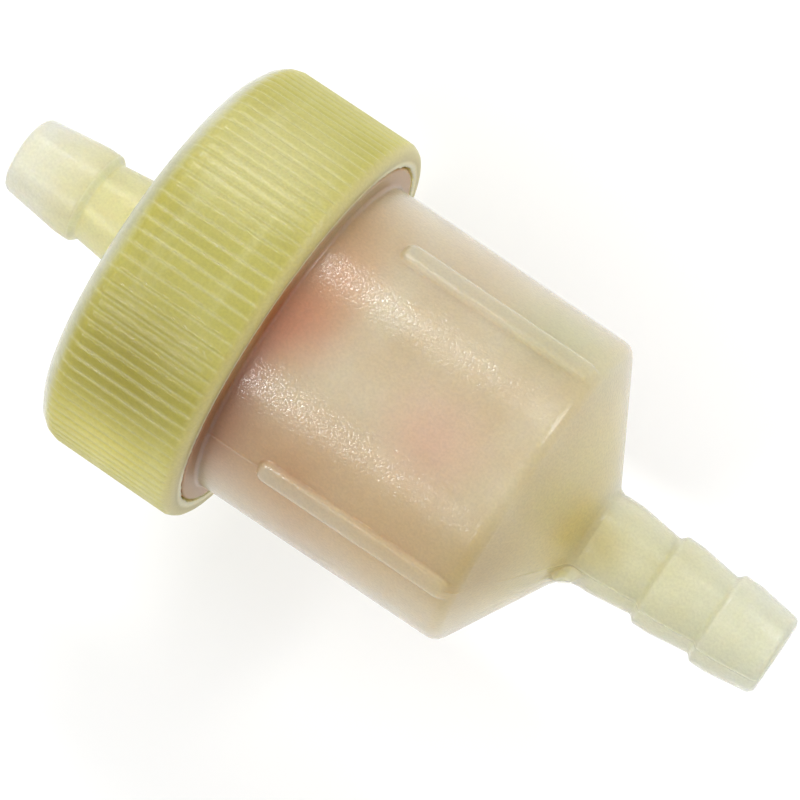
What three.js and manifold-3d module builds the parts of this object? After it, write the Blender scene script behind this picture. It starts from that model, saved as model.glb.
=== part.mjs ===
// In-line fuel filter for a small engine. Millimetres.
// The fuel flows along +X, from the inlet barb on the screw cap to the outlet barb on the bowl. +Z is up.
// The origin is halfway along the filter, on its axis.
import * as THREE from "three";
import { mergeVertices } from "three/addons/utils/BufferGeometryUtils.js";
import Module from "manifold-3d";

const wasm = await Module();
wasm.setup();

// Driving dimensions
const OVERALL_LENGTH = 71.2;
const BORE_RADIUS = 2.1; // fuel passage through both barbs
const BARB_RADIUS = 3.97; // crest of each barb, for a hose of 6 mm bore
const BARB_ROOT_RADIUS = 3.5;
const TIP_ROUND = 0.8;
const WALL = 1.6; // bowl wall
const BOWL_RADIUS = 14; // at the mouth
const BOWL_DRAFT = 0.22; // how much narrower the bowl is at its shoulder
const BOWL_SHOULDER_X = 12.8;
const CONE_SLOPE = 1.823; // radius lost per millimetre along the cone
const BARB_START_X = 19.2;
const MOUTH_X = -18.6; // rim of the bowl
const NECK_RADIUS = 14.2; // root of the outside thread
const COLLAR_RADIUS = 15.55;
const COLLAR_X = -9.9;
const COLLAR_WIDTH = 0.7;
const RIB_LENGTH = 17.2;
const RIB_WIDTH = 2.2;
const RIB_HEIGHT = 0.45;
const RIB_MID_X = 4.2;
const CAP_TOP_X = -22.2;
const CAP_END_X = -9.2;
const CAP_RADIUS = 17.35; // smooth wall under the knurl
const CAP_ROUND = 2;
const SKIRT_ROUND = 0.8;
const KNURL_RADIUS = 17.6;
const KNURL_COUNT = 96;
const KNURL_START_X = -19.9;
const KNURL_END_X = -9.8;
const CAP_BORE_RADIUS = 15.5; // root of the inside thread
const CAP_INNER_X = -20.2; // inner face of the cap's top
const LIP_RADIUS = 15.75;
const THREAD_PITCH = 3;
const THREAD_START_X = -17.6; // of the outside thread
const THREAD_TURNS = 2;
const CAP_THREAD_TURNS = 1.5;
const THREAD_CREST = 15.1; // outside thread on the bowl's neck
const CAP_THREAD_CREST = 14.55;
const THREAD_BASE = 1.5;
const THREAD_TOP = 0.7;
const GAP = 0.1; // between pieces that bear on each other
const PAPER_OUTER = 10.6;
const PAPER_INNER = 6.2;
const PAPER_FOLD = 1.6; // the paper's thickness, measured along a radius
const PLEATS = 30;
const PAPER_START_X = -13.3;
const PAPER_END_X = 8.3;
const POTTING = 0.8;
const CUP_RADIUS = 11.3;
const CUP_WALL = 0.4;
const CUP_FLOOR = 1;
const TOP_CUP_EDGE_X = -8; // open edge of the deep top cup
const BASE_CUP_EDGE_X = 7.4;
const CORE_RADIUS = 5.6;
const CORE_WALL = 0.7;
const SOCKET_RADIUS = 5; // socket in the bowl that takes the element's neck
const SOCKET_START_X = 11;
const ELEMENT_NECK_RADIUS = 3.8;
const ELEMENT_NECK_END_X = 14.9;
const SEAL_X = 13.2;
const SEAL_RADIUS = 4.15;
const SEAL_THICKNESS = 1.3;

// Facets round the large and the small turned pieces
const ROUND_STEPS = 48;
const SMALL_STEPS = 32;
const THREAD_STEPS = 30; // per turn

// Points (x, radius) along a quarter or other arc of a profile, angles in degrees from +X
function arc(x, radius, size, from, to, steps = 4) {
  const points = [];
  for (let i = 0; i <= steps; i += 1) {
    const angle = THREE.MathUtils.degToRad(from + ((to - from) * i) / steps);
    points.push([x + size * Math.cos(angle), radius + size * Math.sin(angle)]);
  }
  return points;
}

// A closed mesh as a solid whose faces point out
function solid(geometry) {
  const bare = geometry.clone();
  bare.deleteAttribute("normal");
  bare.deleteAttribute("uv");
  const merged = mergeVertices(bare, 1e-5);
  const place = merged.getAttribute("position");
  const index = merged.getIndex().array;
  const corners = [new THREE.Vector3(), new THREE.Vector3(), new THREE.Vector3()];
  const kept = [];
  let volume = 0;
  for (let i = 0; i < index.length; i += 3) {
    const [a, b, c] = [index[i], index[i + 1], index[i + 2]];
    if (a !== b && b !== c && c !== a) {
      kept.push(a, b, c);
      [a, b, c].forEach((vertex, k) => corners[k].fromBufferAttribute(place, vertex));
      volume += corners[0].dot(corners[1].cross(corners[2]));
    }
  }
  const triVerts = Uint32Array.from(volume < 0 ? kept.reverse() : kept);
  const vertProperties = Float32Array.from(place.array);
  return new wasm.Manifold(new wasm.Mesh({ numProp: 3, vertProperties, triVerts }));
}

// A profile of (x, radius) points turned about the X axis
function turned(profile, steps = ROUND_STEPS) {
  const points = profile.map(([x, radius]) => new THREE.Vector2(radius, x));
  const onAxis = profile[0][1] === 0 && profile[profile.length - 1][1] === 0;
  if (!onAxis) {
    points.push(points[0].clone());
  }
  return solid(new THREE.LatheGeometry(points, steps).rotateZ(-Math.PI / 2));
}

// A plate outlined in the YZ plane, from x to x + length
function plateAlongX(shape, x, length) {
  const geometry = new THREE.ExtrudeGeometry(shape, { depth: length, bevelEnabled: false });
  return solid(geometry.rotateX(Math.PI / 2).rotateZ(Math.PI / 2).translate(x, 0, 0));
}

// A helical ridge from radius base to radius crest, over a number of turns, fading out at both ends
function thread(startX, turns, base, crest) {
  const steps = Math.round(turns * THREAD_STEPS);
  const fade = THREAD_STEPS / 8;
  const positions = [];
  for (let i = 0; i <= steps; i += 1) {
    const angle = (2 * Math.PI * i) / THREAD_STEPS;
    const x = startX + (THREAD_PITCH * i) / THREAD_STEPS;
    const height = Math.min(1, (i + 0.2) / fade, (steps - i + 0.2) / fade);
    const top = base + (crest - base) * height;
    const section = [
      [base, -THREAD_BASE / 2],
      [top, -THREAD_TOP / 2],
      [top, THREAD_TOP / 2],
      [base, THREAD_BASE / 2],
    ];
    for (const [radius, offset] of section) {
      positions.push(x + offset, radius * Math.cos(angle), radius * Math.sin(angle));
    }
  }
  const index = [0, 1, 2, 0, 2, 3];
  for (let i = 0; i < steps; i += 1) {
    for (let k = 0; k < 4; k += 1) {
      const [a, b] = [4 * i + k, 4 * i + ((k + 1) % 4)];
      index.push(a, a + 4, b, b, a + 4, b + 4);
    }
  }
  const last = 4 * steps;
  index.push(last, last + 2, last + 1, last, last + 3, last + 2);
  const geometry = new THREE.BufferGeometry();
  geometry.setAttribute("position", new THREE.Float32BufferAttribute(positions, 3));
  geometry.setIndex(index);
  return solid(geometry);
}

function plastic(color, roughness) {
  return new THREE.MeshStandardMaterial({ color, roughness, metalness: 0 });
}

// A named mesh made from a solid
function piece(name, body, material) {
  const mesh = body.getMesh();
  const geometry = new THREE.BufferGeometry();
  const places = new Float32Array(mesh.vertProperties);
  geometry.setAttribute("position", new THREE.BufferAttribute(places, 3));
  geometry.setIndex(new THREE.BufferAttribute(new Uint32Array(mesh.triVerts), 1));
  const result = new THREE.Mesh(geometry, material);
  result.name = name;
  return result;
}

// The bowl's cone: x where its outer face has this radius, and the same for its inner face
const coneX = (radius) => BOWL_SHOULDER_X + 1.6 + (11.64 - radius) / CONE_SLOPE;
const innerConeX = (radius) => coneX(radius) - WALL * Math.hypot(1, 1 / CONE_SLOPE);

// Outlet end: three barbs in a row, each tapering towards the tip
function outletBarbs() {
  const steps = [BARB_START_X, 24.7, 30];
  const points = [];
  for (const [i, x] of steps.entries()) {
    const isLast = i === steps.length - 1;
    const end = isLast ? OVERALL_LENGTH / 2 - TIP_ROUND : steps[i + 1] - 0.2;
    points.push([x + 0.2, BARB_RADIUS]);
    points.push([x + 1.6, BARB_RADIUS]);
    points.push([end, isLast ? BARB_ROOT_RADIUS - 0.05 : BARB_ROOT_RADIUS]);
  }
  const tip = OVERALL_LENGTH / 2 - TIP_ROUND;
  return [...points, ...arc(tip, BARB_ROOT_RADIUS - 0.05 - TIP_ROUND, TIP_ROUND, 60, 0, 2)];
}

function ribs() {
  const half = RIB_WIDTH / 2;
  const reach = RIB_LENGTH / 2 - half;
  const outline = new THREE.Shape();
  outline.absarc(reach, 0, half, -Math.PI / 2, Math.PI / 2);
  outline.absarc(-reach, 0, half, Math.PI / 2, (3 * Math.PI) / 2);
  const bevel = 0.25;
  const options = {
    depth: 1.2,
    bevelThickness: bevel,
    bevelSize: bevel,
    bevelOffset: -bevel,
    bevelSegments: 1,
    curveSegments: 8,
  };
  const top = BOWL_RADIUS - BOWL_DRAFT / 2 + RIB_HEIGHT;
  const result = [];
  for (const degrees of [45, 135, 225, 315]) {
    const bar = new THREE.ExtrudeGeometry(outline, options);
    bar.translate(RIB_MID_X, 0, top - options.depth - bevel);
    bar.rotateX(THREE.MathUtils.degToRad(degrees));
    result.push(solid(bar));
  }
  return result;
}

// A small flat web where the barb leaves the cone, on the -Y side
function gateWeb() {
  const side = new THREE.Shape();
  side.moveTo(17.7, -3);
  side.lineTo(19.6, -3);
  side.lineTo(19.6, -3.95);
  side.lineTo(18.5, -4.72);
  side.lineTo(17.7, -4.72);
  const width = 5.2;
  const options = { depth: width, bevelEnabled: false };
  return solid(new THREE.ExtrudeGeometry(side, options).translate(0, 0, -width / 2));
}

function filterBowl() {
  const inner = BOWL_RADIUS - WALL;
  const half = OVERALL_LENGTH / 2;
  const shoulder = BOWL_RADIUS - BOWL_DRAFT;
  const shell = turned([
    [MOUTH_X, inner],
    [MOUTH_X, NECK_RADIUS - 0.3],
    [MOUTH_X + 0.3, NECK_RADIUS],
    [COLLAR_X, NECK_RADIUS],
    [COLLAR_X, COLLAR_RADIUS],
    [COLLAR_X + COLLAR_WIDTH, COLLAR_RADIUS],
    [COLLAR_X + COLLAR_WIDTH + 0.6, BOWL_RADIUS],
    [BOWL_SHOULDER_X - 0.15, shoulder],
    [BOWL_SHOULDER_X + 0.2, shoulder - 0.15],
    [coneX(shoulder - 0.45), shoulder - 0.45],
    [coneX(4.6), 4.6],
    [coneX(4.6) + 0.35, 4.15],
    ...outletBarbs(),
    [half, BORE_RADIUS],
    [innerConeX(BORE_RADIUS), BORE_RADIUS],
    [innerConeX(inner - 0.5), inner - 0.5],
    [innerConeX(inner) - 0.5, inner],
  ]);
  const socket = turned(
    [
      [SOCKET_START_X, SOCKET_RADIUS],
      [SOCKET_START_X, SOCKET_RADIUS + 1],
      [innerConeX(SOCKET_RADIUS + 1) + 0.5, SOCKET_RADIUS + 1],
      [innerConeX(SOCKET_RADIUS) + 0.5, SOCKET_RADIUS],
    ],
    SMALL_STEPS,
  );
  const neckThread = thread(THREAD_START_X, THREAD_TURNS, NECK_RADIUS - 0.3, THREAD_CREST);
  const joined = [socket, neckThread, gateWeb(), ...ribs()].reduce((a, b) => a.add(b), shell);
  return piece("filter_bowl", joined, plastic(0xd0be9b, 0.45));
}

// Inlet end: a long end barb and a shorter one behind it
function inletBarbs() {
  const tip = -OVERALL_LENGTH / 2;
  return [
    ...arc(tip + TIP_ROUND, BARB_ROOT_RADIUS - 0.12 - TIP_ROUND, TIP_ROUND, 180, 120, 2),
    [tip + TIP_ROUND, BARB_ROOT_RADIUS - 0.12],
    [-30, BARB_RADIUS],
    [-28.9, BARB_RADIUS],
    [-28.4, BARB_ROOT_RADIUS - 0.05],
    [-23.9, BARB_RADIUS],
    [-23.5, BARB_ROOT_RADIUS],
    [CAP_TOP_X, BARB_ROOT_RADIUS],
  ];
}

function knurl() {
  const star = new THREE.Shape();
  for (let i = 0; i < 2 * KNURL_COUNT; i += 1) {
    const angle = (Math.PI * i) / KNURL_COUNT;
    const radius = i % 2 === 0 ? KNURL_RADIUS : CAP_RADIUS - 0.12;
    const point = [radius * Math.cos(angle), radius * Math.sin(angle)];
    if (i === 0) {
      star.moveTo(...point);
    } else {
      star.lineTo(...point);
    }
  }
  const hole = new THREE.Path();
  hole.absarc(0, 0, CAP_RADIUS - 0.6, 0, 2 * Math.PI, true);
  star.holes.push(hole);
  return plateAlongX(star, KNURL_START_X, KNURL_END_X - KNURL_START_X);
}

function screwCap() {
  const shell = turned([
    [-OVERALL_LENGTH / 2, BORE_RADIUS],
    ...inletBarbs(),
    ...arc(CAP_TOP_X + CAP_ROUND, CAP_RADIUS - CAP_ROUND, CAP_ROUND, 180, 90, 4),
    ...arc(CAP_END_X - SKIRT_ROUND, CAP_RADIUS - SKIRT_ROUND, SKIRT_ROUND, 90, 0, 2),
    [CAP_END_X, LIP_RADIUS + 0.15],
    [CAP_END_X - 0.15, LIP_RADIUS],
    [CAP_END_X - 1.2, LIP_RADIUS],
    [CAP_END_X - 1.5, CAP_BORE_RADIUS],
    [CAP_INNER_X, CAP_BORE_RADIUS],
    [CAP_INNER_X, BORE_RADIUS],
  ]);
  const insideStartX = THREAD_START_X + THREAD_PITCH / 2; // in the grooves of the outside thread
  const insideThread = thread(insideStartX, CAP_THREAD_TURNS, CAP_BORE_RADIUS + 0.3, CAP_THREAD_CREST);
  const joined = shell.add(knurl()).add(insideThread);
  return piece("screw_cap", joined, plastic(0xc4bd78, 0.5));
}

function capGasket() {
  const ring = turned([
    [CAP_INNER_X + GAP, BOWL_RADIUS - WALL + 0.2],
    [CAP_INNER_X + GAP, CAP_BORE_RADIUS - 0.2],
    [MOUTH_X - GAP, CAP_BORE_RADIUS - 0.2],
    [MOUTH_X - GAP, BOWL_RADIUS - WALL + 0.2],
  ]);
  return piece("cap_gasket", ring, plastic(0x5a2a20, 0.8));
}

// The paper's zigzag in the YZ plane, from fold tips at one radius to fold roots at another
function zigzag(path, tip, root) {
  for (let i = 0; i < 2 * PLEATS; i += 1) {
    const angle = (Math.PI * i) / PLEATS;
    const radius = i % 2 === 0 ? tip : root;
    const point = [radius * Math.cos(angle), radius * Math.sin(angle)];
    if (i === 0) {
      path.moveTo(...point);
    } else {
      path.lineTo(...point);
    }
  }
  path.closePath();
  return path;
}

function pleatedPaper() {
  const outline = zigzag(new THREE.Shape(), PAPER_OUTER, PAPER_INNER + PAPER_FOLD);
  outline.holes.push(zigzag(new THREE.Path(), PAPER_OUTER - PAPER_FOLD, PAPER_INNER));
  const body = plateAlongX(outline, PAPER_START_X, PAPER_END_X - PAPER_START_X);
  return piece("pleated_paper", body, plastic(0xd8a58c, 0.9));
}

// A bead of potting compound that holds one end of the paper and core in its cup
function potting(name, x) {
  const bead = turned(
    [
      [x, CORE_RADIUS - CORE_WALL],
      [x, CUP_RADIUS - CUP_WALL - GAP],
      [x + POTTING, CUP_RADIUS - CUP_WALL - GAP],
      [x + POTTING, CORE_RADIUS - CORE_WALL],
    ],
    SMALL_STEPS,
  );
  return piece(name, bead, plastic(0xc98d5a, 0.6));
}

function elementCore() {
  const length = PAPER_END_X - PAPER_START_X;
  let core = turned(
    [
      [PAPER_START_X, CORE_RADIUS - CORE_WALL],
      [PAPER_START_X, CORE_RADIUS],
      [PAPER_END_X, CORE_RADIUS],
      [PAPER_END_X, CORE_RADIUS - CORE_WALL],
    ],
    SMALL_STEPS,
  );
  const [rows, columns, slotLength, slotWidth] = [4, 8, 3.8, 2];
  for (let row = 0; row < rows; row += 1) {
    for (let column = 0; column < columns; column += 1) {
      const slot = new THREE.BoxGeometry(slotLength, slotWidth, 2);
      slot.translate(PAPER_START_X + (length * (row + 0.5)) / rows, 0, CORE_RADIUS);
      core = core.subtract(solid(slot.rotateX((2 * Math.PI * column) / columns)));
    }
  }
  return piece("element_core", core, plastic(0xe2ddcb, 0.5));
}

// Closed end of the element: a deep cup with four fins that bear on the cap
function elementTopCup() {
  const floorX = PAPER_START_X - POTTING - 2 * GAP;
  let cup = turned([
    [floorX - CUP_FLOOR, 0],
    [floorX - CUP_FLOOR, CUP_RADIUS - 0.4],
    [floorX - CUP_FLOOR + 0.4, CUP_RADIUS],
    [TOP_CUP_EDGE_X, CUP_RADIUS],
    [TOP_CUP_EDGE_X, CUP_RADIUS - CUP_WALL],
    [floorX, CUP_RADIUS - CUP_WALL],
    [floorX, 0],
  ]);
  const finLength = floorX - CUP_FLOOR - CAP_INNER_X;
  for (let i = 0; i < 4; i += 1) {
    const fin = new THREE.BoxGeometry(finLength, 1, 6);
    fin.translate(CAP_INNER_X + 0.3 + finLength / 2, 0, 6.5);
    cup = cup.add(solid(fin.rotateX((Math.PI * i) / 2)));
  }
  return piece("element_top_cup", cup, plastic(0xb4523a, 0.5));
}

// Open end of the element: a shallow cup with the neck that plugs into the bowl's socket
function elementBaseCup() {
  const floorX = PAPER_END_X + POTTING + 2 * GAP;
  const groove = SEAL_THICKNESS / 2 + 0.2;
  const hole = ELEMENT_NECK_RADIUS - 1.3;
  const cup = turned([
    [BASE_CUP_EDGE_X, CUP_RADIUS - CUP_WALL],
    [BASE_CUP_EDGE_X, CUP_RADIUS],
    [floorX + CUP_FLOOR, CUP_RADIUS],
    [floorX + CUP_FLOOR, ELEMENT_NECK_RADIUS],
    [SEAL_X - groove, ELEMENT_NECK_RADIUS],
    [SEAL_X - groove, SEAL_RADIUS - groove],
    [SEAL_X + groove, SEAL_RADIUS - groove],
    [SEAL_X + groove, ELEMENT_NECK_RADIUS],
    [ELEMENT_NECK_END_X - 0.3, ELEMENT_NECK_RADIUS],
    [ELEMENT_NECK_END_X, ELEMENT_NECK_RADIUS - 0.3],
    [ELEMENT_NECK_END_X, hole],
    [floorX, hole],
    [floorX, CUP_RADIUS - CUP_WALL],
  ]);
  return piece("element_base_cup", cup, plastic(0xcfa35c, 0.5));
}

function neckSeal() {
  const section = arc(SEAL_X, SEAL_RADIUS, SEAL_THICKNESS / 2, 0, 315, 7);
  return piece("neck_seal", turned(section, SMALL_STEPS), plastic(0x2a2422, 0.7));
}

const fuelFilter = new THREE.Group();
fuelFilter.add(
  filterBowl(),
  screwCap(),
  capGasket(),
  pleatedPaper(),
  elementCore(),
  potting("top_potting", PAPER_START_X - GAP - POTTING),
  potting("base_potting", PAPER_END_X + GAP),
  elementTopCup(),
  elementBaseCup(),
  neckSeal(),
);

export default fuelFilter;
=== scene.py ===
"""In-line fuel filter for a small engine: a translucent nylon bowl and screw cap with hose barbs,
a pleated paper element inside, and the camera and lights of a plain product picture."""
import math

import bmesh
import bpy
import numpy as np
from mathutils import Matrix, Vector


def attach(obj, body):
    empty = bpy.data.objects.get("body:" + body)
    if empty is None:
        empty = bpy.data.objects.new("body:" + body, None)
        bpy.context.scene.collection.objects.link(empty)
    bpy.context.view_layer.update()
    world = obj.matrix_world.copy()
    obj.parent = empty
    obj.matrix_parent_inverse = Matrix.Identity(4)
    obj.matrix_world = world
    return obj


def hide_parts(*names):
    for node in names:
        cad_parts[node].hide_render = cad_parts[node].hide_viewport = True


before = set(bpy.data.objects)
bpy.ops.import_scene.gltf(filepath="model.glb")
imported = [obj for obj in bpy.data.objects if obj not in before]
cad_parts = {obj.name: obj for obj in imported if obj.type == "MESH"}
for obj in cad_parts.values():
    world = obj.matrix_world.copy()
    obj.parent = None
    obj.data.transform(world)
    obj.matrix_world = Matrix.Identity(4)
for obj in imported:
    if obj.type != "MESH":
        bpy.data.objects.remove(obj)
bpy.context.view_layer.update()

# Camera ------------------------------------------------------------------------------------
# A long lens looks down on the filter from 273 mm. It leans 8 degrees towards the outlet, so
# the near edge of the cap hides its flat top, and is rolled so that fuel runs down to the right.
focal_mm = 157.5
sensor_mm = 36
camera_distance = 0.2734
lean = math.radians(8.1)
roll = math.radians(34)
looked_at = Vector((0.0003, 0.00026, 0))
along = Vector((math.cos(lean), 0, -math.sin(lean)))
across = Vector((0, 1, 0))
towards_camera = Vector((math.sin(lean), 0, math.cos(lean)))
camera_data = bpy.data.cameras.new("camera")
camera_data.lens = focal_mm
camera_data.sensor_width = sensor_mm
camera_data.clip_start = 0.01
camera_data.clip_end = 20
camera = bpy.data.objects.new("camera", camera_data)
bpy.context.collection.objects.link(camera)
to_the_right = along * math.cos(roll) + across * math.sin(roll)
upwards = -along * math.sin(roll) + across * math.cos(roll)
camera.matrix_world = Matrix.Translation(looked_at + towards_camera * camera_distance) @ Matrix(
    (to_the_right, upwards, towards_camera)
).transposed().to_4x4()
bpy.context.scene.camera = camera

# Studio ------------------------------------------------------------------------------------
# Two strip lamps give the pair of grainy streaks that run along the bowl, and a small square one
# the glint on its shoulder. A broad soft box and a white tent light the rest, over white card.
bpy.context.scene.view_settings.view_transform = "Standard"
tent = bpy.data.worlds.new("light tent")
tent.use_nodes = True
tent.node_tree.nodes["Background"].inputs["Color"].default_value = (1, 1, 1, 1)
tent.node_tree.nodes["Background"].inputs["Strength"].default_value = 0.8
bpy.context.scene.world = tent


def place_lamp(name, from_above, length, width, watts, distance, shift=0):
    """A rectangular lamp whose length lies along the filter. It stands from_above degrees round the
    filter's axis from straight up towards +Y, faces that axis, and is shifted along it. Metres."""
    data = bpy.data.lights.new(name, "AREA")
    data.shape = "RECTANGLE"
    data.size, data.size_y = length, width
    data.energy = watts
    lamp = bpy.data.objects.new(name, data)
    angle = math.radians(from_above)
    place = Vector((shift, math.sin(angle) * distance, math.cos(angle) * distance))
    lamp.matrix_world = Matrix.Translation(place) @ Matrix.Rotation(-angle, 4, "X")
    bpy.context.collection.objects.link(lamp)


place_lamp("key strip", 49, length=0.16, width=0.035, watts=0.57, distance=0.4, shift=-0.15)
place_lamp("fill strip", -39, length=0.16, width=0.03, watts=0.55, distance=0.4, shift=-0.15)
place_lamp("end lamp", 51, length=0.07, width=0.07, watts=0.42, distance=0.4, shift=0.21)
place_lamp("soft box", 0, length=0.6, width=0.4, watts=0.5, distance=0.6)

floor_half = 2.0
floor_z = -0.032
floor_mesh = bpy.data.meshes.new("floor")
floor_mesh.from_pydata(
    [(x * floor_half, y * floor_half, floor_z) for x, y in ((-1, -1), (1, -1), (1, 1), (-1, 1))],
    [],
    [(0, 1, 2, 3)],
)
floor = bpy.data.objects.new("floor", floor_mesh)
bpy.context.collection.objects.link(floor)
card = bpy.data.materials.new("white card")
card.use_nodes = True
card_shader = card.node_tree.nodes["Principled BSDF"]
card_shader.inputs["Base Color"].default_value = (0.9, 0.9, 0.9, 1)
card_shader.inputs["Roughness"].default_value = 0.9
floor_mesh.materials.append(card)

# Filter bowl -------------------------------------------------------------------------------
# One injection moulding in natural nylon: threaded neck, collar, straight bowl with four low
# ribs, cone and three-step outlet barb. Inside is the socket that takes the element's neck.
# Sizes are in mm, and the frame's are in metres.
bowl_wall = 1.6
bowl_radius = 14.0
bowl_draft = 0.22
inner_radius = bowl_radius - bowl_wall
mouth_x = -18.6
neck_radius = 14.2
collar_start_x = -9.9
collar_end_x = -9.1
collar_radius = 15.55
shoulder_x = 12.8
shoulder_corner_x = shoulder_x + 0.35
cone_middle_x = shoulder_x + 1.6
cone_middle_radius = 11.64
cone_slope = 1.823
cone_foot_radius = 4.15
socket_x = 11.0
socket_inner = 5
socket_outer = 6
barb_crest = 3.97
barb_root = 3.5
barb_starts = (19.2, 24.7, 30.0)
half_length = 35.6
tip_round = 0.8
bore_radius = 2.1
thread_pitch = 3.0
thread_start_x = -17.6
thread_turns = 2
thread_height = 0.9
thread_foot = 0.75
thread_crest = 0.3
thread_fade = 0.12
rib_height = 0.45
rib_half_width = 1.1
rib_length = 17.2
rib_middle_x = 4.2
rib_start_x = rib_middle_x - rib_length / 2
rib_end_x = rib_middle_x + rib_length / 2
line_height = 0.06
line_half_width = 0.09
web_start_x = 17.4
web_taper_x = 18.3
web_taper_length = 1.1
web_taper = 0.65
web_reach = 4.7
web_half_width = 2.7
web_height = 1.2
arc_step = math.radians(18)
edge_strip = 0.08


def outline(corners):
    """A closed profile from corners (x, radius, rounding, step) in mm. Each corner becomes an arc of
    its rounding radius that touches both sides, and the side that leaves it is cut into pieces
    no longer than step, with a short piece at each end so that broad faces stay flat."""
    points = np.array([corner[:2] for corner in corners], float)
    back = np.roll(points, 1, 0) - points
    ahead = np.roll(points, -1, 0) - points
    arcs = []
    for point, to_last, to_next, corner in zip(points, back, ahead, corners):
        a = to_last / np.linalg.norm(to_last)
        b = to_next / np.linalg.norm(to_next)
        angle = math.acos(np.clip(a @ b, -1, 1))
        reach = corner[2] / math.tan(angle / 2)
        reach = min(reach, 0.46 * np.linalg.norm(to_last), 0.46 * np.linalg.norm(to_next))
        radius = reach * math.tan(angle / 2)
        turn = math.pi - angle
        if radius < 1e-3 or turn < 0.02:
            arcs.append(point[None])
            continue
        middle = point + (a + b) / np.linalg.norm(a + b) * radius / math.sin(angle / 2)
        share = np.linspace(0, 1, max(3, math.ceil(turn / arc_step)))[:, None]
        start, end = point + a * reach - middle, point + b * reach - middle
        swept = np.sin((1 - share) * turn) * start + np.sin(share * turn) * end
        arcs.append(middle + swept / math.sin(turn))
    rows = []
    for arc, following, corner in zip(arcs, arcs[1:] + arcs[:1], corners):
        rows.append(arc)
        side = following[0] - arc[-1]
        length = np.linalg.norm(side)
        pieces = max(1, math.ceil(length / corner[3]))
        stops = np.linspace(0, 1, pieces + 1)[1:-1]
        edge = min(edge_strip, length / 4) / max(length, 1e-9)
        stops = np.unique(np.concatenate([stops, [edge, 1 - edge]]))
        rows.append(arc[-1] + stops[:, None] * side)
    return np.concatenate(rows)


def revolve(name, profile, columns, relief=None, spread=None):
    """A closed piece swept round the X axis: point (i, j) is row i of the profile turned by angle j,
    with its radius raised by relief(x, angle, radius). spread bunches the angles together where
    the relief needs them. Rows on the axis close to a pole."""
    turn = np.arange(columns) * 2 * np.pi / columns
    turn = turn if spread is None else spread(turn)
    x, angle = np.meshgrid(profile[:, 0], turn, indexing="ij")
    radius = np.repeat(profile[:, 1:], columns, axis=1)
    if relief is not None:
        radius = radius + relief(x, angle, radius)
    points = np.stack([x, radius * np.cos(angle), radius * np.sin(angle)], -1).reshape(-1, 3)
    has_poles = profile[0, 1] == 0
    rows = len(profile)
    i = np.arange(rows - 1 if has_poles else rows)[:, None]
    j = np.arange(columns)[None]
    i_next, j_next = (i + 1) % rows, (j + 1) % columns
    quads = [i * columns + j, i * columns + j_next, i_next * columns + j_next, i_next * columns + j]
    faces = np.stack(quads, -1).reshape(-1, 4)
    mesh = bpy.data.meshes.new(name)
    mesh.from_pydata((points * 0.001).tolist(), [], faces.tolist())
    if has_poles:
        welded = bmesh.new()
        welded.from_mesh(mesh)
        bmesh.ops.remove_doubles(welded, verts=welded.verts, dist=1e-8)
        welded.to_mesh(mesh)
        welded.free()
    mesh.shade_smooth()
    piece = bpy.data.objects.new(name, mesh)
    bpy.context.collection.objects.link(piece)
    return piece


def smooth_step(low, high, value):
    """0 up to low, 1 from high on, and 3t^2 - 2t^3 between them, where t runs from low to high. With
    the larger one as low, it falls as the value grows."""
    t = np.clip((value - low) / (high - low), 0, 1)
    return t * t * (3 - 2 * t)


def thread_relief(x, angle, start_x, turns):
    """Height, 0 to 1, of a right-hand helical ridge that starts at start_x on the +Y side. The
    distance to the nearest turn, measured along the axis, gives a flat crest and sloped flanks, and
    the ridge fades out over about an eighth of a turn at each end."""
    passed = (x - start_x) / thread_pitch - angle / (2 * np.pi)
    nearest = np.round(passed)
    offset = np.abs(passed - nearest) * thread_pitch
    along_helix = nearest + angle / (2 * np.pi)
    fade_in = smooth_step(0, thread_fade, along_helix)
    fade_out = smooth_step(0, thread_fade, turns - along_helix)
    return smooth_step(thread_foot, thread_crest, offset) * (fade_in * fade_out)


def parting_line(angle, radius):
    """The witness of the mould's two halves: a fine ridge along 135 and 315 degrees, whose section
    is a bell curve of the distance from it."""
    across_line = ((angle - 3 * np.pi / 4 + np.pi / 2) % np.pi - np.pi / 2) * radius
    return line_height * np.exp(-((across_line / line_half_width) ** 2)) * (radius > barb_root - 0.2)


def bowl_relief(x, angle, radius):
    """Thread on the neck, four ribs at 45 degrees, the parting line, and the flat web of the gate
    beside the barb. A rib's section is the square root of 1 less the cube of the distance from its
    middle line, in half widths. The web is how far a plane beside the barb stands proud of it."""
    on_neck = (x < collar_start_x) * (radius > neck_radius - 0.35) * (radius < neck_radius + 0.1)
    thread = thread_height * thread_relief(x, angle, thread_start_x, thread_turns) * on_neck
    to_rib = (angle % (np.pi / 2) - np.pi / 4) * bowl_radius
    beyond = np.maximum(np.abs(x - rib_middle_x) - (rib_length / 2 - rib_half_width), 0)
    from_ridge = (np.abs(to_rib) ** 3 + beyond**3) ** (1 / 3) / rib_half_width
    rib = rib_height * np.sqrt(np.clip(1 - from_ridge**3, 0, 1)) * (radius > bowl_radius - 0.6)
    outside = (radius > inner_radius + 0.2) | ((x > shoulder_x + 2.8) & (radius > barb_root - 0.2))
    line = parting_line(angle, radius) * (x > collar_end_x) * outside * (rib == 0)
    reach = web_reach - web_taper * np.clip((x - web_taper_x) / web_taper_length, 0, 1)
    flat = reach / np.maximum(-np.cos(angle), 0.5) - radius
    beside_barb = (x > web_start_x) * (x < barb_starts[0] + 0.4) * (radius > barb_root + 0.1)
    across_web = np.abs(radius * np.sin(angle))
    on_web = smooth_step(web_half_width, web_half_width - 0.3, across_web) * (np.cos(angle) < -0.3)
    web = np.clip(flat, 0, web_height) * beside_barb * on_web
    return thread + rib + np.maximum(web, line)


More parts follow.
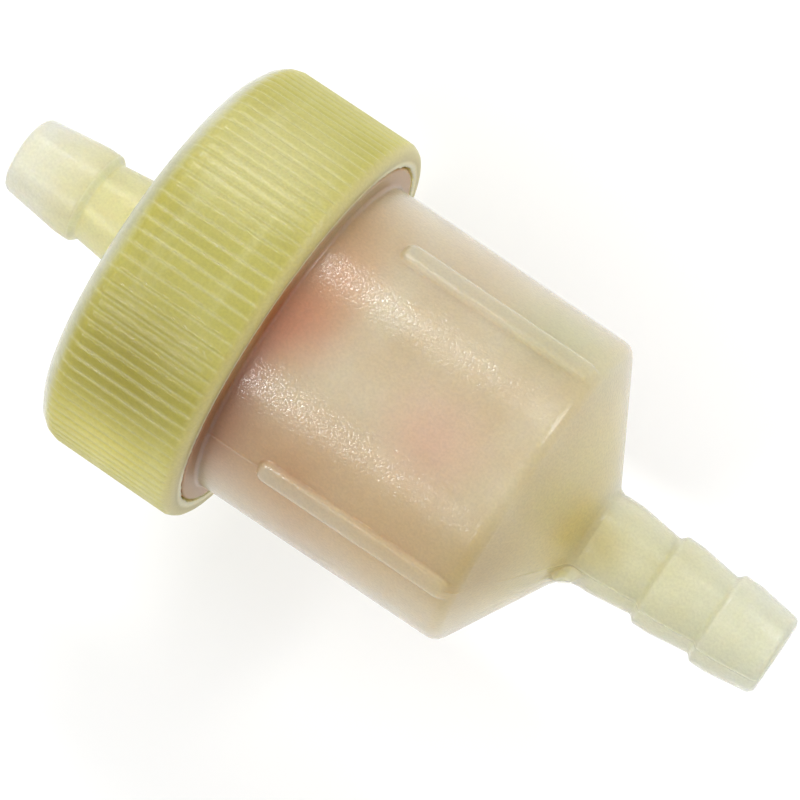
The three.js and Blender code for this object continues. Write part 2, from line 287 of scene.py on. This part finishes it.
def bunch_at_ribs(turn):
    """Angles packed 2.5 times closer at the ribs than the average."""
    return turn - 0.6 / 4 * np.sin(4 * (turn - np.pi / 4))


def cone_x(radius):
    """Where the cone's outer line, through its middle at cone_slope, has this radius."""
    return cone_middle_x + (cone_middle_radius - radius) / cone_slope


def inner_cone_x(radius):
    """The same for the cone's inner line, which is one wall away, measured square to the line."""
    return cone_x(radius) - bowl_wall * math.hypot(1, 1 / cone_slope)


def wall_radius(x):
    """Outer radius of the bowl's wall, which narrows evenly by the mould's draft from the collar to
    the shoulder."""
    return bowl_radius - bowl_draft * (x - collar_end_x) / (shoulder_corner_x - collar_end_x)


def outlet_barbs():
    """Three saw teeth, each with a short land at its crest and a long taper towards the tip."""
    corners = []
    for start, end in zip(barb_starts, barb_starts[1:] + (half_length,)):
        is_tip = end == half_length
        corners.append((start + 0.25, barb_crest, 0.3 if corners else 0.0, 1))
        corners.append((start + 1.7, barb_crest, 4, 1))
        if not is_tip:
            corners.append((end - 0.2, barb_root, 0.25, 1))
    corners.append((half_length, barb_root - 0.1, tip_round, 1))
    return corners


bowl_profile = outline(
    [
        (mouth_x, inner_radius, 0.15, 5),
        (mouth_x, neck_radius, 0.3, 0.3),
        (collar_start_x, neck_radius, 0.1, 1),
        (collar_start_x, collar_radius, 0.12, 1),
        (collar_end_x - 0.1, collar_radius, 0.25, 1),
        (collar_end_x, bowl_radius, 0.3, 2),
        (rib_start_x - 0.2, wall_radius(rib_start_x - 0.2), 0, 0.15),
        (rib_start_x + 1.3, wall_radius(rib_start_x + 1.3), 0, 5),
        (rib_end_x - 1.3, wall_radius(rib_end_x - 1.3), 0, 0.15),
        (shoulder_corner_x, bowl_radius - bowl_draft, 1.2, 1),
        (cone_x(cone_foot_radius), cone_foot_radius, 0.7, 0.2),
        (barb_starts[0] - 0.2, cone_foot_radius - 0.2, 0.2, 0.2),
        *outlet_barbs(),
        (half_length, bore_radius, 0.12, 20),
        (inner_cone_x(bore_radius), bore_radius, 0.3, 2),
        (inner_cone_x(socket_inner), socket_inner, 0.2, 2),
        (socket_x, socket_inner, 0.2, 2),
        (socket_x, socket_outer, 0.2, 2),
        (inner_cone_x(socket_outer), socket_outer, 0.3, 2),
        (inner_cone_x(inner_radius), inner_radius, 0.8, 3),
    ]
)
bowl = revolve("moulded_bowl", bowl_profile, 384, bowl_relief, bunch_at_ribs)


def places_of(piece):
    """Distance along the axis, angle round it and radius of each of a piece's vertices, in mm."""
    places = np.empty(len(piece.data.vertices) * 3)
    piece.data.vertices.foreach_get("co", places)
    x, y, z = places.reshape(-1, 3).T * 1000
    return x, np.arctan2(z, y), np.hypot(y, z)


x, angle, radius = places_of(bowl)
on_wall = (x > rib_start_x - 2.6) * (x < rib_end_x + 0.4)
on_rib = np.clip((radius - bowl_radius) / rib_height, 0, 1) * on_wall
bowl.data.attributes.new("rib", "FLOAT", "POINT").data.foreach_set("value", on_rib)


def linear(code):
    """An sRGB hex colour as linear RGBA."""
    parts = [int(code[i : i + 2], 16) / 255 for i in (0, 2, 4)]
    return tuple(c / 12.92 if c <= 0.04045 else ((c + 0.055) / 1.055) ** 2.4 for c in parts) + (1.0,)


def new_material(name):
    """A material whose Principled shader is ready, with its node tree and shader."""
    material = bpy.data.materials.new(name)
    material.use_nodes = True
    return material, material.node_tree, material.node_tree.nodes["Principled BSDF"]


def put(tree, node, sockets):
    """Gives each named or numbered input of a node a value, or links another node's output."""
    for socket, value in sockets.items():
        if isinstance(value, bpy.types.NodeSocket):
            tree.links.new(value, node.inputs[socket])
        else:
            node.inputs[socket].default_value = value


def add(tree, kind, sockets=None, **settings):
    """Adds one node with its settings, and fills its sockets."""
    added = tree.nodes.new("ShaderNode" + kind)
    for field, value in settings.items():
        setattr(added, field, value)
    put(tree, added, sockets or {})
    return added


def tinted(tree, colour, measure, low, high, tint):
    """The colour, turning smoothly to tint where the measure goes from low to high. low may be
    the larger one. tint is a hex colour or another node's colour."""
    share = add(
        tree,
        "MapRange",
        {"Value": measure, "From Min": low, "From Max": high},
        interpolation_type="SMOOTHSTEP",
    )
    tint = linear(tint) if isinstance(tint, str) else tint
    sockets = {0: share.outputs["Result"], 6: colour, 7: tint}
    return add(tree, "Mix", sockets, data_type="RGBA").outputs[2]


def stain_and_shade_patch(tree, colour, place, middle, radius, tint):
    """The colour with a soft round patch of tint, strongest at its middle. Metres."""
    away = add(tree, "VectorMath", {0: place, 1: middle}, operation="DISTANCE")
    return tinted(tree, colour, away.outputs["Value"], radius, 0.0, tint)


def finish_nylon(tree, shader, place, colour, passes, blur, coat):
    """The finish that both nylon mouldings share: it passes some of the light, blurs it, and glows
    inside. The spark-eroded grain, four and a half to the millimetre, breaks each highlight into
    bright specks."""
    grain_mm = 1 / 4.5
    grain = add(tree, "TexNoise", {"Vector": place, "Scale": 1000 / grain_mm, "Detail": 2.0})
    grain = grain.outputs["Fac"]
    gain = add(
        tree,
        "MapRange",
        {"Value": grain, "From Min": 0.3, "From Max": 0.7, "To Min": 0.93, "To Max": 1.07},
    )
    speckled = add(tree, "VectorMath", {0: colour, "Scale": gain.outputs["Result"]}, operation="SCALE")
    matte = add(tree, "Bump", {"Height": grain, "Strength": 0.1, "Distance": 0.0001})
    gloss = add(tree, "Bump", {"Height": grain, "Strength": 0.42, "Distance": 0.0001})
    put(
        tree,
        shader,
        {
            "Base Color": speckled.outputs["Vector"],
            "Roughness": blur,
            "IOR": 1.53,
            "Transmission Weight": passes,
            "Subsurface Weight": 1.0,
            "Subsurface Scale": 0.003,
            "Subsurface Radius": (1.0, 0.85, 0.5),
            "Coat Weight": coat,
            "Coat Roughness": 0.12,
            "Coat IOR": 1.53,
            "Normal": matte.outputs["Normal"],
            "Coat Normal": gloss.outputs["Normal"],
        },
    )


def change_gloss(tree, shader, x, low, high, first, last):
    """Lets the coat's weight run evenly from first to last between two places along the axis, in
    metres."""
    gloss = add(
        tree,
        "MapRange",
        {"Value": x, "From Min": low, "From Max": high, "To Min": first, "To Max": last},
    )
    put(tree, shader, {"Coat Weight": gloss.outputs["Result"]})


def natural_nylon():
    """Uncoloured PA6, moulded against a spark-eroded tool. Fuel has stained it peach and amber. The
    glow of the element's red-brown cup through the wall is painted round the mouth and the collar
    under the cap's lip, and painted shade darkens the bowl's edges and a band along its lower side."""
    material, tree, shader = new_material("natural nylon, spark-eroded")
    place = add(tree, "TexCoord").outputs["Object"]
    axes = add(tree, "SeparateXYZ", {0: place}).outputs
    cloud_mm = 6.25
    cloud = add(tree, "TexNoise", {"Vector": place, "Scale": 1000 / cloud_mm, "Detail": 3.0})
    cloud = cloud.outputs["Fac"]
    pale = tinted(tree, linear("E0E0C8"), cloud, 0.1, 0.9, "EAEBDC")
    clean = tinted(tree, linear("DCD8AC"), cloud, 0.1, 0.9, "E6E4C8")
    peach = tinted(tree, linear("DCC79C"), cloud, 0.1, 0.9, "ECE0C2")
    colour = tinted(tree, clean, axes["X"], 0.02, 0.036, pale)
    cone = tinted(tree, peach, axes["X"], 0.0115, 0.0165, "EEDEA2")
    colour = tinted(tree, colour, axes["X"], 0.0192, 0.0172, cone)
    # Painted glow: the element's red-brown cup, lit through the wall, is painted near the mouth, tan
    # towards the sides, and orange round the collar under the cap's lip.
    side = add(tree, "Math", {0: axes["Y"]}, operation="ABSOLUTE").outputs["Value"]
    painted_cup_glow = tinted(tree, linear("BC5606"), side, 0.0085, 0.0125, "CDB27A")
    collar = tinted(tree, painted_cup_glow, axes["X"], -0.0087, -0.0092, "D8903A")
    neck = tinted(tree, collar, axes["X"], -0.0098, -0.0103, "E2D6B0")
    colour = tinted(tree, colour, axes["X"], -0.006, -0.0105, neck)
    for middle, radius, tint in (
        ((0.0161, -0.001, 0.004), 0.0052, "ECD262"),
        ((0.0198, -0.0005, 0.0037), 0.0035, "D2C88C"),
        ((-0.0088, 0.0015, 0.0138), 0.007, "D2803F"),
        ((-0.009, 0.0062, 0.0126), 0.007, "DFAE7E"),
        ((0.0058, -0.001, 0.014), 0.006, "EAC8A8"),
        # Painted shade: darker, greener patches along the bowl's upper and lower edges.
        ((0.0, 0.0125, 0.006), 0.0085, "DCCAA4"),
        ((0.0095, 0.0118, 0.0072), 0.0085, "D6D2A6"),
        ((0.0, -0.013, 0.0045), 0.0085, "D6BE98"),
        ((0.0133, -0.0075, 0.0098), 0.0075, "CDB676"),
        ((-0.0105, 0.0098, 0.0102), 0.0085, "DCBA84"),
        # Painted shade: a brown band along the lower side, darkest near the mouth.
        ((-0.0105, -0.0095, 0.0105), 0.0095, "AC6424"),
        ((-0.002, -0.0095, 0.0105), 0.009, "D6AE76"),
        ((0.006, -0.0095, 0.0105), 0.009, "DEC08A"),
    ):
        colour = stain_and_shade_patch(tree, colour, place, middle, radius, tint)
    rib = add(tree, "Attribute", attribute_name="rib").outputs["Fac"]
    colour = tinted(tree, colour, rib, 0.0, 1.4, "D9D4BC")
    finish_nylon(tree, shader, place, colour, passes=0.55, blur=0.6, coat=0.9)
    change_gloss(tree, shader, axes["X"], -0.0094, -0.0088, first=0.1, last=0.9)
    return material


bowl.data.materials.append(natural_nylon())
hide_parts("filter_bowl")
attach(bowl, "bowl")

# Screw cap ---------------------------------------------------------------------------------
# The same nylon, gone yellow-green in a thicker moulding: a knurled skirt with a right-hand
# thread inside, a flat top with a rounded edge, and the two-step inlet barb.
cap_top_x = -22.2
cap_end_x = -9.2
cap_radius = 17.35
cap_rounding = 2.0
knurl_height = 0.1
groove_half_width = 0.13
knurl_count = 96
cap_bore = 15.5
cap_inner_x = -20.2
cap_thread_turns = 1.5
cap_thread_height = 0.95
lip_radius = 15.75
flash_reach = 0.22
flash_waves = (7, 19, 31, 53, 71, 97)
inlet_crest_x = -30.2
inlet_crest_end_x = -28.95
inlet_root_x = -28.4
inlet_taper_end_x = -23.9
inlet_foot_x = -23.4


def groove_share(angle):
    """A bell curve of the distance to the nearest groove of the knurl: 1 in the middle of each narrow
    groove and 0 on the lands between them."""
    turns = angle * knurl_count / (2 * np.pi)
    from_groove = np.abs(turns - np.round(turns)) * 2 * np.pi * cap_radius / knurl_count
    return np.exp(-((from_groove / groove_half_width) ** 2))


def cap_relief(x, angle, radius):
    """Broad lands parted by narrow grooves, which run out over the cap's rounded edge, the helical
    ridge inside the bore, and the uneven flash round the inner edge of the lip, which is a sum
    of waves of unlike lengths."""
    runs_out = smooth_step(cap_top_x + 0.5, cap_top_x + cap_rounding, x)
    skirt = runs_out * smooth_step(cap_end_x - 0.5, cap_end_x - 0.9, x) * (radius > cap_radius - 1.05)
    knurl = knurl_height * (1 - groove_share(angle)) * skirt
    ridge = thread_relief(x, angle, thread_start_x + thread_pitch / 2, cap_thread_turns)
    inside = cap_thread_height * ridge * (np.abs(radius - cap_bore) < 0.05)
    ragged = sum(np.sin(k * angle + k * k) for k in flash_waves) / len(flash_waves)
    at_lip = (np.abs(x - cap_end_x) < 0.5) * (np.abs(radius - lip_radius) < 0.15)
    return knurl - inside - flash_reach * np.abs(ragged) * at_lip


def bunch_at_grooves(turn):
    """Angles packed three times closer in the grooves than the average."""
    return turn - 0.67 / knurl_count * np.sin(turn * knurl_count)


cap_profile = outline(
    [
        (-half_length, bore_radius, 0.12, 5),
        (-half_length, barb_root - 0.2, tip_round, 1),
        (inlet_crest_x, barb_crest, 4, 1),
        (inlet_crest_end_x, barb_crest, 0.3, 1),
        (inlet_root_x, barb_root - 0.05, 0.3, 1),
        (inlet_taper_end_x, barb_crest, 0.4, 1),
        (inlet_foot_x, barb_root, 0.2, 1),
        (cap_top_x, barb_root, 0.5, 3),
        (cap_top_x, cap_radius, cap_rounding, 1.5),
        (cap_end_x, cap_radius, 0.8, 2),
        (cap_end_x, lip_radius, 0.12, 1),
        (cap_end_x - 1.2, lip_radius, 0.1, 1),
        (cap_end_x - 1.5, cap_bore, 0.1, 0.5),
        (cap_inner_x, cap_bore, 0.3, 5),
        (cap_inner_x, bore_radius, 0.2, 20),
    ]
)
cap = revolve("moulded_cap", cap_profile, 8 * knurl_count, cap_relief, bunch_at_grooves)
x, angle, radius = places_of(cap)
on_skirt = (x > cap_top_x + 0.5) * (x < cap_end_x - 0.7) * (radius > cap_radius - 0.55)
in_groove = groove_share(angle) * on_skirt
cap.data.attributes.new("groove", "FLOAT", "POINT").data.foreach_set("value", in_groove)


def aged_nylon():
    """Nylon gone yellow-green with fuel. The thick skirt is cloudy, with paler rings of painted light
    where the thread behind it shows through, and painted light in the knurl's grooves that cancels
    their shade. The mould's rounded edge is pale grey, and a painted highlight runs round the inner
    edge of the lip."""
    material, tree, shader = new_material("yellowed nylon, moulded")
    place = add(tree, "TexCoord").outputs["Object"]
    x = add(tree, "SeparateXYZ", {0: place}).outputs["X"]
    cloud_mm = 7.7
    cloud = add(tree, "TexNoise", {"Vector": place, "Scale": 1000 / cloud_mm, "Detail": 4.0})
    cloud = cloud.outputs["Fac"]
    ring_mm = 2.38
    squeezed = add(tree, "Mapping", {"Vector": place, "Scale": (1.0, 0.12, 0.12)}).outputs["Vector"]
    rings = add(tree, "TexNoise", {"Vector": squeezed, "Scale": 1000 / ring_mm, "Detail": 3.0})
    rings = rings.outputs["Fac"]
    thick = tinted(tree, linear("B2AA36"), cloud, 0.15, 0.85, "C2BC62")
    # Painted light: paler bands where the thread behind the skirt shows through.
    thick = tinted(tree, thick, rings, 0.5, 0.75, "CAC57C")
    for middle, radius, tint in (
        ((-0.0155, 0.0095, 0.0148), 0.0095, "CFC985"),
        ((-0.0155, -0.0152, 0.0085), 0.0085, "D6CC66"),
        ((-0.0155, -0.0092, 0.0148), 0.0098, "A39817"),
    ):
        thick = stain_and_shade_patch(tree, thick, place, middle, radius, tint)
    # Painted light: the knurl's grooves are painted paler, which cancels the shade they get.
    groove = add(tree, "Attribute", attribute_name="groove").outputs["Fac"]
    thick = tinted(tree, thick, groove, 0.0, 1.5, "D2CE8E")
    from_axis = add(tree, "Mapping", {"Vector": place, "Scale": (0.0, 1.0, 1.0)}).outputs["Vector"]
    from_axis = add(tree, "VectorMath", {0: from_axis}, operation="LENGTH").outputs["Value"]
    # The rounded edge of the flat top is painted pale grey.
    pale_grey_edge = tinted(tree, linear("B8B894"), cloud, 0.3, 0.7, "CACAB0")
    flat_top = tinted(tree, thick, from_axis, 0.0135, 0.0158, pale_grey_edge)
    thick = tinted(tree, thick, x, -0.0205, -0.0216, flat_top)
    # Painted highlight: a bright pale line round the inner edge of the lip; the end of the skirt
    # outside it is a duller yellow.
    lip = tinted(tree, linear("C3B97C"), from_axis, 0.0164, 0.016, "FFF2B8")
    colour = tinted(tree, thick, x, -0.0104, -0.0093, lip)
    finish_nylon(tree, shader, place, colour, passes=0.3, blur=0.55, coat=0.28)
    change_gloss(tree, shader, x, -0.0214, -0.0204, first=0.9, last=0.28)
    return material


def barb_nylon():
    """The same nylon where the wall is thin: clearer, and paler towards the open end. Painted light
    brightens the step behind the barb's crest and the taper from its root to the cap, cancelling their
    shade."""
    material, tree, shader = new_material("yellowed nylon, thin wall")
    place = add(tree, "TexCoord").outputs["Object"]
    x = add(tree, "SeparateXYZ", {0: place}).outputs["X"]
    cloud_mm = 5.55
    cloud = add(tree, "TexNoise", {"Vector": place, "Scale": 1000 / cloud_mm, "Detail": 3.0})
    cloud = cloud.outputs["Fac"]
    deep = tinted(tree, linear("DFD9A2"), cloud, 0.3, 0.7, "E5E0B4")
    pale = tinted(tree, linear("E2E0CC"), cloud, 0.3, 0.7, "ECEBE0")
    colour = tinted(tree, deep, x, -0.026, -0.0356, pale)
    # Painted light on the step behind the crest and on the taper from the root to the cap.
    colour = tinted(tree, colour, x, -0.02905, -0.0289, "FBF7D8")
    colour = tinted(tree, colour, x, -0.0285, -0.0283, "EFE9B6")
    finish_nylon(tree, shader, place, colour, passes=0.45, blur=0.6, coat=0.4)
    return material


cap.data.materials.append(aged_nylon())
cap.data.materials.append(barb_nylon())
face_middle = np.empty(len(cap.data.polygons) * 3)
cap.data.polygons.foreach_get("center", face_middle)
on_barb = (face_middle[::3] < cap_top_x * 0.001).astype(np.int32)
cap.data.polygons.foreach_set("material_index", on_barb)
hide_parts("screw_cap")
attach(cap, "cap")

# Cap gasket --------------------------------------------------------------------------------
# A flat ring stamped from red-brown nitrile sheet, held between the cap and the bowl's rim. It is
# drawn as it is before it is squeezed, so it stops just short of both.
gasket_start_x = cap_inner_x + 0.1
gasket_end_x = mouth_x - 0.1
gasket_inner = inner_radius + 0.2
gasket_outer = cap_bore - 0.2
gasket_profile = outline(
    [
        (gasket_start_x, gasket_inner, 0.08, 1),
        (gasket_start_x, gasket_outer, 0.08, 1),
        (gasket_end_x, gasket_outer, 0.08, 1),
        (gasket_end_x, gasket_inner, 0.08, 1),
    ]
)
gasket = revolve("stamped_gasket", gasket_profile, 192)


def nitrile(name, code, grain_mm):
    """Matte rubber with a fine skin texture, and painted shade in its hollows."""
    material, tree, shader = new_material(name)
    place = add(tree, "TexCoord").outputs["Object"]
    skin = add(tree, "TexNoise", {"Vector": place, "Scale": 1000 / grain_mm, "Detail": 3.0})
    # Painted shade: the hollows of the skin are darker.
    dark = tuple(c * 0.6 for c in linear(code)[:3]) + (1.0,)
    colour = add(
        tree, "Mix", {0: skin.outputs["Fac"], 6: dark, 7: linear(code)}, data_type="RGBA"
    )
    bump = add(tree, "Bump", {"Height": skin.outputs["Fac"], "Strength": 0.3, "Distance": 0.0001})
    put(
        tree,
        shader,
        {"Base Color": colour.outputs[2], "Roughness": 0.7, "Normal": bump.outputs["Normal"]},
    )
    return material


gasket.data.materials.append(nitrile("red-brown nitrile sheet", "6B2A1E", 0.3))
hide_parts("cap_gasket")
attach(gasket, "gasket")

# Pleated paper -----------------------------------------------------------------------------
# Resin-treated filter paper folded into thirty pleats and closed into a ring. Its two ends stand
# in the cups' potting.
pleats = 30
paper_start_x = -13.3
paper_end_x = 8.3
paper_outer = 10.6
paper_inner = 6.2
paper_fold = 1.6
pleat_sharpness = 0.97
folded_reach = 0.84


def pleat_relief(x, angle, radius):
    """A zigzag round the ring, made by taking the arcsine of a cosine wave that stops just short of
    1, so that its folds are rounded: the radius swings from the fold tips to the fold roots, and
    each pleat leans a little to and fro along its length."""
    lean_angle = 0.01 * np.sin(x * 0.35 + 7 * angle)
    wave = np.cos(pleats * (angle + lean_angle))
    swing = (paper_outer - paper_fold - paper_inner) / 2
    return swing * (2 / np.pi) * np.arcsin(pleat_sharpness * wave) / folded_reach


middle_radius = (paper_outer + paper_fold + paper_inner) / 2
paper_profile = outline(
    [
        (paper_start_x, middle_radius - paper_fold, 0.05, 2),
        (paper_start_x, middle_radius, 0.05, 0.8),
        (paper_end_x, middle_radius, 0.05, 2),
        (paper_end_x, middle_radius - paper_fold, 0.05, 0.8),
    ]
)
paper = revolve("pleated_ring", paper_profile, 24 * pleats, pleat_relief)


def filter_paper():
    """Cellulose paper cured with phenolic resin, pinkish brown. Fibres about 0.4 mm long show as a
    fine felt."""
    material, tree, shader = new_material("resin-treated filter paper")
    place = add(tree, "TexCoord").outputs["Object"]
    fibre_mm = 0.4
    felt = add(tree, "TexNoise", {"Vector": place, "Scale": 1000 / fibre_mm, "Detail": 4.0})
    colour = add(
        tree,
        "Mix",
        {0: felt.outputs["Fac"], 6: linear("E59C80"), 7: linear("F0C4A6")},
        data_type="RGBA",
    )
    bump = add(tree, "Bump", {"Height": felt.outputs["Fac"], "Strength": 0.4, "Distance": 0.0001})
    put(
        tree,
        shader,
        {"Base Color": colour.outputs[2], "Roughness": 0.9, "Normal": bump.outputs["Normal"]},
    )
    return material


paper.data.materials.append(filter_paper())
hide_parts("pleated_paper")
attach(paper, "element")

# Element cups ------------------------------------------------------------------------------
# Two small mouldings that hold the paper: a deep red-brown cup closes the inlet end, with four
# fins that bear on the cap, and a shallow amber one ends in the neck that plugs into the bowl.
cup_radius = 11.3
cup_wall = 0.4
cup_floor = 1.0
potting_depth = 1.0
top_floor_x = paper_start_x - potting_depth
top_lip_x = -8.0
base_floor_x = paper_end_x + potting_depth
base_lip_x = 7.4
neck_outer = 3.8
neck_inner = 2.5
neck_end_x = 14.9
seal_x = 13.2
seal_groove_radius = 3.3
seal_groove_half_width = 0.85
fin_start_x = -19.9
fin_inner = 3.5
fin_outer = 9.5
fin_thickness = 1.0
top_cup_profile = outline(
    [
        (top_floor_x - cup_floor, 0.0, 0, 20),
        (top_floor_x - cup_floor, cup_radius, 0.4, 20),
        (top_lip_x, cup_radius, 0.1, 1),
        (top_lip_x, cup_radius - cup_wall, 0.1, 20),
        (top_floor_x, cup_radius - cup_wall, 0.3, 20),
        (top_floor_x, 0.0, 0, 20),
    ]
)
# The outline closes along the axis. Those last rows are cut off, so each face of the floor ends
# in a pole.
on_axis = np.flatnonzero(top_cup_profile[:, 1] < 1e-9)
top_cup_profile = top_cup_profile[: on_axis[on_axis > 2][0] + 1]
top_cup = revolve("top_cup", top_cup_profile, 192)
fin_profile = outline(
    [
        (fin_start_x, fin_inner, 0.4, 9),
        (fin_start_x, fin_outer, 0.4, 9),
        (top_floor_x - cup_floor + 0.1, fin_outer, 0.05, 9),
        (top_floor_x - cup_floor + 0.1, fin_inner, 0.05, 9),
    ]
)


def add_fins(cup, profile, thickness):
    """Adds four flat plates at quarter turns to a cup. Each is the profile (x, radius) set half the
    thickness to either side of a plane through the axis, and quads join its two outlines."""
    rows = np.arange(len(profile))
    shifts = [-thickness / 2, thickness / 2]
    turn, side, row = np.meshgrid(np.arange(4) * np.pi / 2, shifts, rows, indexing="ij")
    x, radius = profile[row, 0], profile[row, 1]
    y = side * np.cos(turn) - radius * np.sin(turn)
    z = side * np.sin(turn) + radius * np.cos(turn)
    points = np.stack([x, y, z], -1).reshape(-1, 3)
    near = 2 * len(rows) * np.arange(4)[:, None] + rows
    far = near + len(rows)
    edges = np.stack([np.roll(far, -1, 1), far, near, np.roll(near, -1, 1)], -1).reshape(-1, 4)
    plates = bpy.data.meshes.new("fins")
    faces = near[:, ::-1].tolist() + far.tolist() + edges.tolist()
    plates.from_pydata((points * 0.001).tolist(), [], faces)
    joined = bmesh.new()
    joined.from_mesh(cup.data)
    joined.from_mesh(plates)
    joined.to_mesh(cup.data)
    joined.free()
    bpy.data.meshes.remove(plates)


add_fins(top_cup, fin_profile, fin_thickness)
base_cup_profile = outline(
    [
        (base_lip_x, cup_radius - cup_wall, 0.1, 1),
        (base_lip_x, cup_radius, 0.1, 20),
        (base_floor_x + cup_floor, cup_radius, 0.3, 20),
        (base_floor_x + cup_floor, neck_outer, 0.3, 20),
        (seal_x - seal_groove_half_width, neck_outer, 0.1, 1),
        (seal_x - seal_groove_half_width, seal_groove_radius, 0.1, 1),
        (seal_x + seal_groove_half_width, seal_groove_radius, 0.1, 1),
        (seal_x + seal_groove_half_width, neck_outer, 0.1, 1),
        (neck_end_x, neck_outer, 0.3, 1),
        (neck_end_x, neck_inner, 0.15, 20),
        (base_floor_x, neck_inner, 0.15, 20),
        (base_floor_x, cup_radius - cup_wall, 0.3, 20),
    ]
)
base_cup = revolve("base_cup", base_cup_profile, 192)


def cup_plastic(name, code):
    """Filled nylon in a solid colour, with a slight mottle and a satin skin."""
    material, tree, shader = new_material(name)
    place = add(tree, "TexCoord").outputs["Object"]
    mottle_mm = 2.0
    mottle = add(tree, "TexNoise", {"Vector": place, "Scale": 1000 / mottle_mm, "Detail": 3.0})
    dark = tuple(c * 0.8 for c in linear(code)[:3]) + (1.0,)
    colour = add(
        tree, "Mix", {0: mottle.outputs["Fac"], 6: dark, 7: linear(code)}, data_type="RGBA"
    )
    bump = add(tree, "Bump", {"Height": mottle.outputs["Fac"], "Strength": 0.1, "Distance": 0.0001})
    put(
        tree,
        shader,
        {"Base Color": colour.outputs[2], "Roughness": 0.45, "Normal": bump.outputs["Normal"]},
    )
    return material


top_cup.data.materials.append(cup_plastic("red-brown filled nylon", "B4523A"))
base_cup.data.materials.append(cup_plastic("amber filled nylon", "CFA35C"))
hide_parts("element_top_cup")
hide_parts("element_base_cup")
for cup in (top_cup, base_cup):
    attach(cup, "element")

# Neck seal ---------------------------------------------------------------------------------
# A moulded nitrile O-ring, stretched into the groove of the element's neck, that keeps unfiltered
# fuel out of the outlet.
seal_radius = 4.15
seal_thickness = 1.3
section = np.linspace(0, 2 * np.pi, 24, endpoint=False)
seal_rows = seal_x - seal_thickness / 2 * np.cos(section)
seal_profile = np.stack([seal_rows, seal_radius + seal_thickness / 2 * np.sin(section)], -1)
seal = revolve("o_ring", seal_profile, 96)
seal.data.materials.append(nitrile("black nitrile", "2E2B29", 0.2))
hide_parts("neck_seal")
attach(seal, "element")

# Element core and potting ------------------------------------------------------------------
# The slotted core is a plain moulded tube, and the potting is two poured beads, so both keep
# their designed shapes and only get their finish.
core_finish = cup_plastic("natural filled nylon", "E2DDCB")
potting_finish = cup_plastic("cured potting compound", "C98D5A")
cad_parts["element_core"].material_slots[0].material = core_finish
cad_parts["top_potting"].material_slots[0].material = potting_finish
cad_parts["base_potting"].material_slots[0].material = potting_finish
